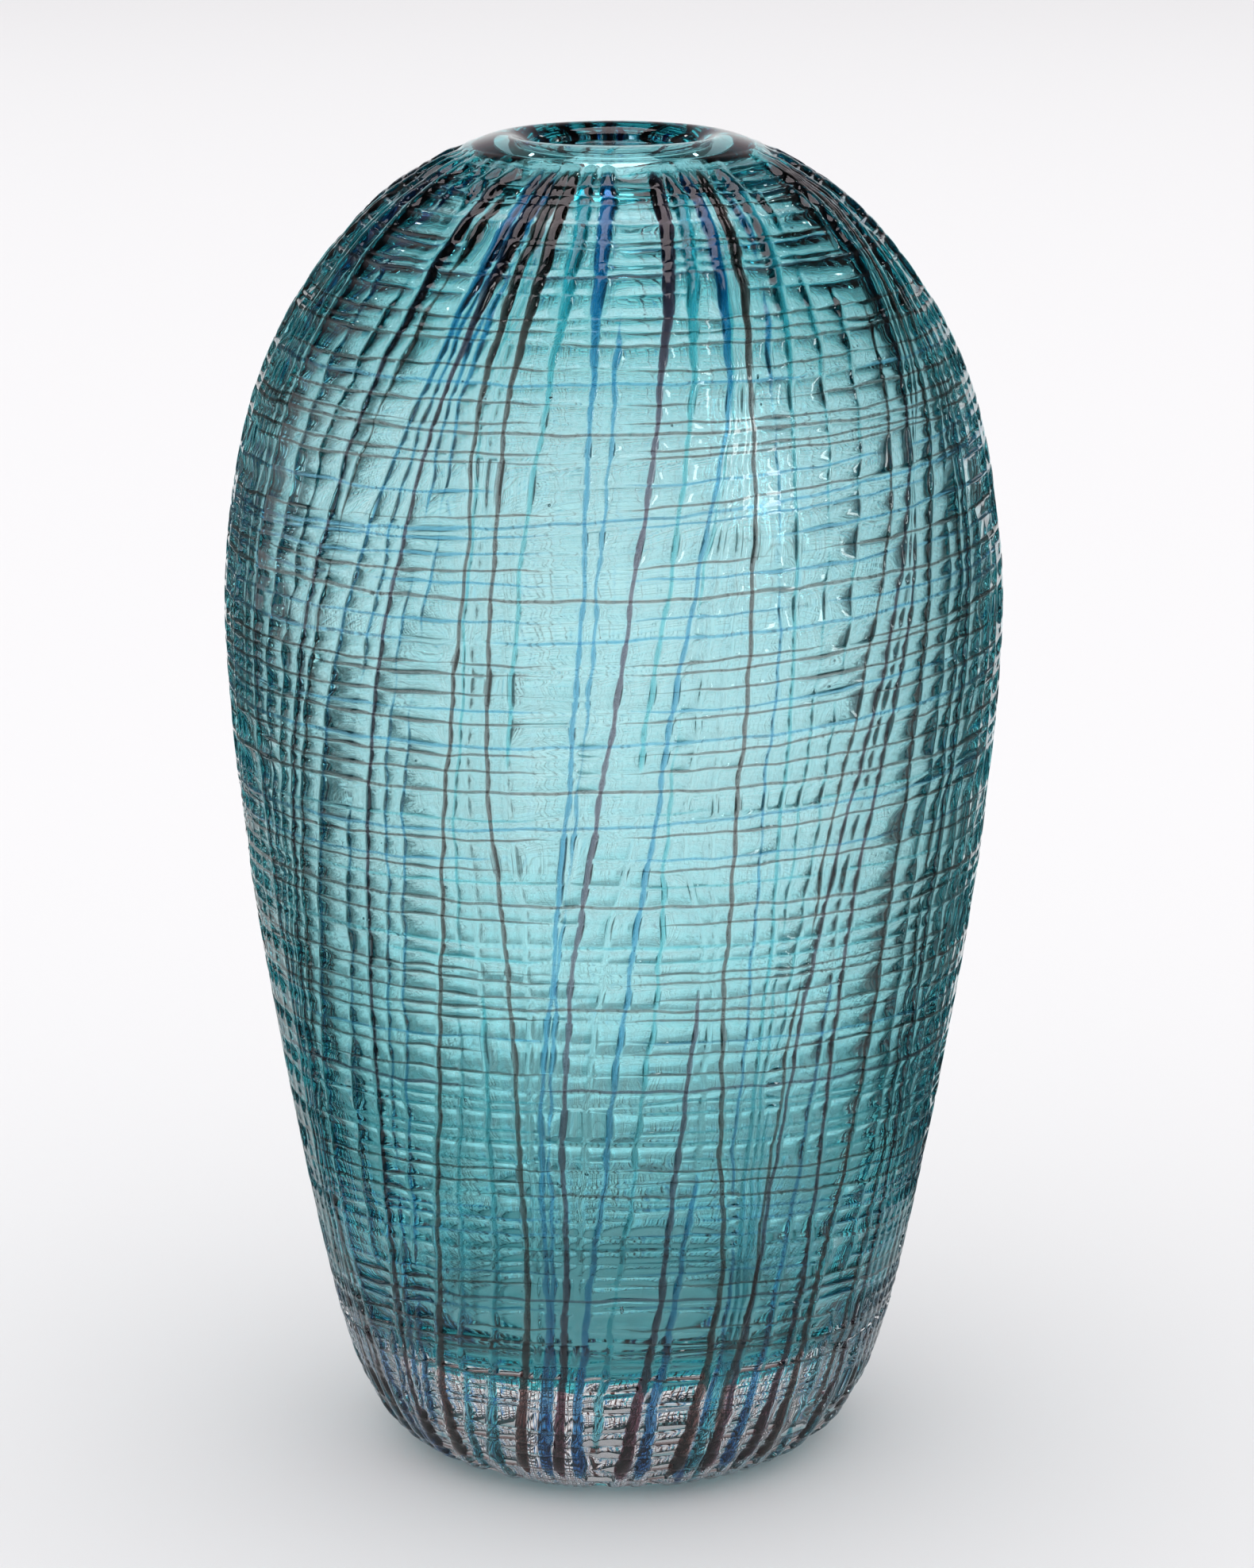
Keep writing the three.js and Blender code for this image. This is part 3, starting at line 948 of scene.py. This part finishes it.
def lane_kind(bearing, distance):
    """Which of the bright lanes between the dark cards lies this way from the vase: an open one, a
    near one that ends at an upright card, a far one that starts there, or none, which is dark."""
    for middle, half_angle, kind in LANES:
        off = abs((bearing - middle + FULL_TURN / 2) % FULL_TURN - FULL_TURN / 2)
        half_width = LANE_HALF_WIDTH + distance * math.tan(math.radians(half_angle)) / 2
        if off < half_angle and distance * math.sin(math.radians(off)) < half_width:
            return kind
    return "dark"


def glass_only(name, points, faces, colour):
    """A card that only the glass sees, so that the floor and its light stay plain."""
    mesh = bpy.data.meshes.new(name)
    mesh.from_pydata(points, [], faces)
    mesh.materials.append(plain_material(name, colour, CARD_ROUGHNESS))
    card = in_scene(name, mesh)
    card.visible_camera = False
    card.visible_diffuse = False
    card.visible_shadow = False


def on_circle(distance, bearing, height):
    turn = math.radians(bearing)
    return (-distance * math.sin(turn), distance * math.cos(turn), height)


def dark_cards():
    """Dark cards round the bright lanes behind the vase, as a glass photographer stands them just
    out of the picture, and a grey one round its foot: they draw its edges and ridges dark."""
    points, faces, grey_points, grey_faces = [], [], [], []

    def card(*corners):
        faces.append(tuple(range(len(points), len(points) + 4)))
        points.extend(corners)

    for bearing in range(0, int(FULL_TURN), CARD_STEP):
        after = bearing + CARD_STEP
        middle = bearing + CARD_STEP / 2
        for near, far in ((CARD_START, CARD_BEND), (CARD_BEND, CARD_END)):
            kind = lane_kind(middle, far)
            if kind in ("dark", "far") or (kind == "near" and near == CARD_BEND):
                card(
                    on_circle(near, bearing, CARD_LIFT),
                    on_circle(near, after, CARD_LIFT),
                    on_circle(far, after, CARD_LIFT),
                    on_circle(far, bearing, CARD_LIFT),
                )
        if lane_kind(middle, CARD_BEND) in ("dark", "near"):
            card(
                on_circle(CARD_BEND, bearing, 0),
                on_circle(CARD_BEND, after, 0),
                on_circle(CARD_BEND, after, CARD_HEIGHT),
                on_circle(CARD_BEND, bearing, CARD_HEIGHT),
            )
        near, far = GREY_CARD
        if lane_kind(middle, CARD_BEND) == "near":
            far = CARD_BEND
        grey_faces.append(tuple(range(len(grey_points), len(grey_points) + 4)))
        grey_points += [
            on_circle(near, bearing, GREY_CARD_LIFT),
            on_circle(near, after, GREY_CARD_LIFT),
            on_circle(far, after, GREY_CARD_LIFT),
            on_circle(far, bearing, GREY_CARD_LIFT),
        ]
    glass_only("dark_cards", points, faces, DARK_CARD_COLOUR)
    glass_only("grey_card", grey_points, grey_faces, GREY_CARD_COLOUR)


def area_lamp(name, place, size, power, colour=(1, 1, 1)):
    light = bpy.data.lights.new(name, "AREA")
    light.shape = "RECTANGLE"
    light.size, light.size_y = size
    light.energy = power
    light.color = colour
    lamp = in_scene(name, light)
    lamp.location = place
    lamp.rotation_euler = (LIGHT_AIM - Vector(place)).to_track_quat("-Z", "Y").to_euler()
    return lamp


def room_light():
    """An even light on the floor that the glass doesn't show."""
    place = (0, 0, ROOM_LIGHT_HEIGHT)
    lamp = area_lamp("room_light", place, ROOM_LIGHT_SIZE, ROOM_LIGHT_POWER)
    lamp.visible_glossy = False
    lamp.visible_transmission = False


def softbox(name, place, size, power, colour=(1, 1, 1)):
    """A light that only shows in the glass, as a gleam."""
    area_lamp(name, place, size, power, colour).visible_diffuse = False


def stage_world():
    world = bpy.data.worlds.new("studio")
    bpy.context.scene.world = world
    world.use_nodes = True
    tree = world.node_tree
    coords = tree.nodes.new("ShaderNodeTexCoord")
    split = tree.nodes.new("ShaderNodeSeparateXYZ")
    ramp = tree.nodes.new("ShaderNodeValToRGB")
    tree.links.new(coords.outputs["Generated"], split.inputs[0])
    tree.links.new(split.outputs["Z"], ramp.inputs["Fac"])
    tree.links.new(ramp.outputs["Color"], tree.nodes["Background"].inputs["Color"])
    elements = ramp.color_ramp.elements
    elements.new(SKY[1][0])
    for element, (position, colour) in zip(elements, SKY):
        element.position = position
        element.color = (*colour, 1)


def stage_camera():
    data = bpy.data.cameras.new("camera")
    data.lens = LENS
    data.sensor_width = SENSOR
    data.clip_end = CLIP_END
    eye = in_scene("camera", data)
    eye.location = EYE
    eye.rotation_euler = (math.radians(90 - LOOK_DOWN), 0, 0)
    bpy.context.scene.camera = eye


stage_floor()
dark_cards()
stage_world()
room_light()
softbox("top_softbox", (0, 0, TOP_SOFTBOX_HEIGHT), TOP_SOFTBOX_SIZE, TOP_SOFTBOX_POWER,
        TOP_SOFTBOX_COLOUR)
for number in range(STRIPS):
    bearing = STRIP_BEARING + number * FULL_TURN / STRIPS
    softbox(f"strip_{number}", on_circle(STRIP_DISTANCE, -bearing, STRIP_HEIGHT), STRIP_SIZE,
            STRIP_POWER)
stage_camera()

scene = bpy.context.scene
scene.view_settings.view_transform = "Standard"
scene.cycles.max_bounces = 40
scene.cycles.transmission_bounces = 40
scene.cycles.glossy_bounces = 12
scene.cycles.diffuse_bounces = 3

bpy.context.view_layer.update()
